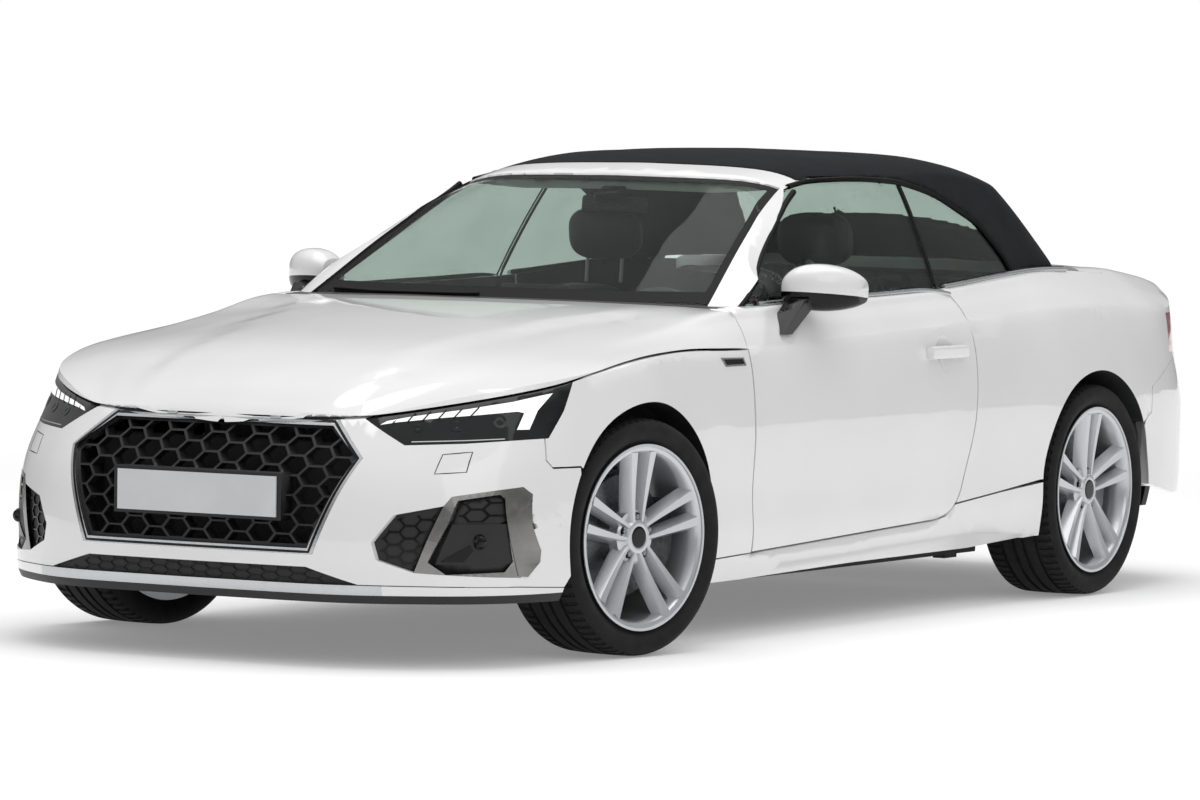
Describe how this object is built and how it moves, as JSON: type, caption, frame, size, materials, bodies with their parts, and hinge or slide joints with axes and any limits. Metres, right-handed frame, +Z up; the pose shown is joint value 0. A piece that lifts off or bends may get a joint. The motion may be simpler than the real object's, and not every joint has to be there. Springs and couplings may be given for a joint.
{
  "type": "convertible car",
  "caption": "Full-size two-door convertible car with a closed soft top, opening doors, bonnet and boot lid, and steered, rolling wheels.",
  "frame": {"origin": "On the ground, at the middle of the bottom of the car's box", "axes": "+Z up, +X to the car's left, -Y ahead: the nose points along -Y"},
  "size_m": [1.964, 4.6975, 1.3839],
  "materials": {
    "paint": "gloss white solid paint",
    "black_plastic": "fine-grained black plastic",
    "underbody": "dark sealed sheet steel",
    "bright_trim": "satin anodised trim",
    "plate": "blank light grey number plate",
    "lamp_lens": "clear lamp lens over dark reflectors",
    "glass": "tinted safety glass",
    "soft_top_cloth": "black woven acrylic top cloth",
    "tail_lens": "red lamp lens",
    "soft_plastic": "soft-touch black plastic",
    "seat_leather": "grained black leather",
    "cast_metal": "raw casting",
    "steel": "dull steel",
    "alloy": "silver lacquered alloy",
    "tyre": "black tyre rubber"
  },
  "bodies": {
    "root": {"underbody": "underbody", "side_skirts": "paint", "front_wings": "paint", "front_bumper": "paint", "radiator_grille": "black_plastic", "grille_surround": "bright_trim", "air_intakes": "black_plastic", "intake_trims": "bright_trim", "wheel_arch_liners": "black_plastic", "number_plates": "plate", "front_lip": "bright_trim", "headlamps": "lamp_lens", "windscreen_frame": "paint", "scuttle": "black_plastic", "windscreen": "glass", "quarter_panels": "paint", "quarter_windows": "glass", "soft_top": "soft_top_cloth", "rear_window": "glass", "top_box_cover": "paint", "rear_bumper": "paint", "rear_valance": "black_plastic", "tail_lamps": "tail_lens", "dashboard": "soft_plastic", "front_seats": "seat_leather", "rear_bench": "seat_leather", "engine": "cast_metal", "front_suspension": "steel", "rear_suspension": "steel", "exhaust": "steel"},
    "knuckle_left": {"knuckle_left": "cast_metal"},
    "knuckle_right": {"knuckle_right": "cast_metal"},
    "wheel_front_left": {"rim_front_left": "alloy", "tyre_front_left": "tyre"},
    "wheel_front_right": {"rim_front_right": "alloy", "tyre_front_right": "tyre"},
    "wheel_rear_left": {"rim_rear_left": "alloy", "tyre_rear_left": "tyre"},
    "wheel_rear_right": {"rim_rear_right": "alloy", "tyre_rear_right": "tyre"},
    "door_left": {"door_left": "paint", "door_window_left": "glass", "mirror_left": "paint"},
    "door_right": {"door_right": "paint", "door_window_right": "glass", "mirror_right": "paint"},
    "bonnet": {"bonnet": "paint"},
    "boot_lid": {"boot_lid": "paint", "boot_lamps": "tail_lens"},
    "steering_wheel": {"steering_wheel": "seat_leather"}
  },
  "joints": [
    {"name": "steer_left", "type": "hinge", "parent": "root", "child": "knuckle_left", "pos_m": [0.7735, -1.4565, 0.3305], "axis": [0, 0, 1], "range_deg": [-23.6, 42.4]},
    {"name": "steer_right", "type": "hinge", "parent": "root", "child": "knuckle_right", "pos_m": [-0.7735, -1.4565, 0.3305], "axis": [0, 0, 1], "range_deg": [-23.6, 42.4]},
    {"name": "steering_wheel_turn", "type": "hinge", "parent": "root", "child": "steering_wheel", "pos_m": [0.372, -0.42, 0.8], "axis": [0, 0.9135, 0.4067], "range_deg": [-331.4, 594.6]},
    {"name": "spin_front_left", "type": "hinge", "parent": "knuckle_left", "child": "wheel_front_left", "pos_m": [0.79323, -1.45977, 0.3305], "axis": [0.9866, -0.1633, 0], "continuous": true},
    {"name": "spin_front_right", "type": "hinge", "parent": "knuckle_right", "child": "wheel_front_right", "pos_m": [-0.79323, -1.45323, 0.3305], "axis": [0.9866, -0.1633, 0], "continuous": true},
    {"name": "spin_rear_left", "type": "hinge", "parent": "root", "child": "wheel_rear_left", "pos_m": [0.784, 1.3085, 0.3305], "axis": [1, 0, 0], "continuous": true},
    {"name": "spin_rear_right", "type": "hinge", "parent": "root", "child": "wheel_rear_right", "pos_m": [-0.784, 1.3085, 0.3305], "axis": [1, 0, 0], "continuous": true},
    {"name": "door_left_swing", "type": "hinge", "parent": "root", "child": "door_left", "pos_m": [0.897, -0.836, 0.56], "axis": [0, 0, -1], "range_deg": [0, 62]},
    {"name": "door_right_swing", "type": "hinge", "parent": "root", "child": "door_right", "pos_m": [-0.897, -0.836, 0.56], "axis": [0, 0, 1], "range_deg": [0, 62]},
    {"name": "bonnet_lift", "type": "hinge", "parent": "root", "child": "bonnet", "pos_m": [0, -0.812, 0.965], "axis": [-1, 0, 0], "range_deg": [0, 50]},
    {"name": "boot_lift", "type": "hinge", "parent": "root", "child": "boot_lid", "pos_m": [0, 1.643, 1.044], "axis": [1, 0, 0], "range_deg": [0, 80]}
  ],
  "couplings": [
    {"joint": "steer_right", "follows": "steer_left", "ratio": 1},
    {"joint": "steering_wheel_turn", "follows": "steer_left", "ratio": 14}
  ]
}
